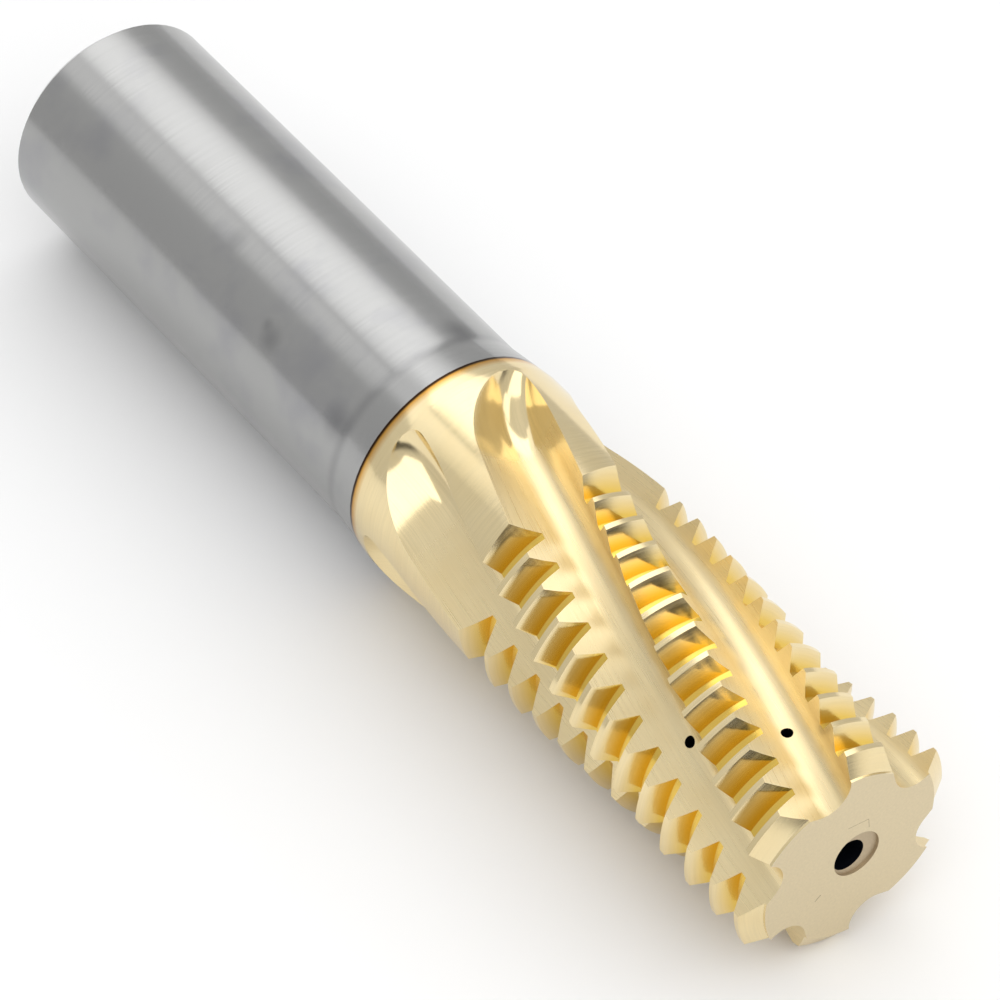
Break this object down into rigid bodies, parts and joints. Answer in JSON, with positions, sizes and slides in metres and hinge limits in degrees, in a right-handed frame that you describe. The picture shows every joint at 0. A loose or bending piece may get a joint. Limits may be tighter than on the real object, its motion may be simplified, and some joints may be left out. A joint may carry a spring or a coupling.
{
  "type": "thread mill",
  "caption": "Solid carbide thread mill: plain ground shank and a pale gold coated head with rows of relieved ring teeth between right-hand helical flutes, with coolant bores.",
  "frame": {"origin": "centre of the shank's end face, on the tool's axis", "axes": "+Z along the tool's axis towards the cutting tip; +X through a cutting edge at the end face"},
  "size_m": [0.0212, 0.0212, 0.105],
  "materials": {
    "thread_mill": "cemented carbide, satin ground shank and a pale gold hard coating on the head"
  },
  "bodies": {
    "root": {"thread_mill": "thread_mill"}
  },
  "joints": []
}
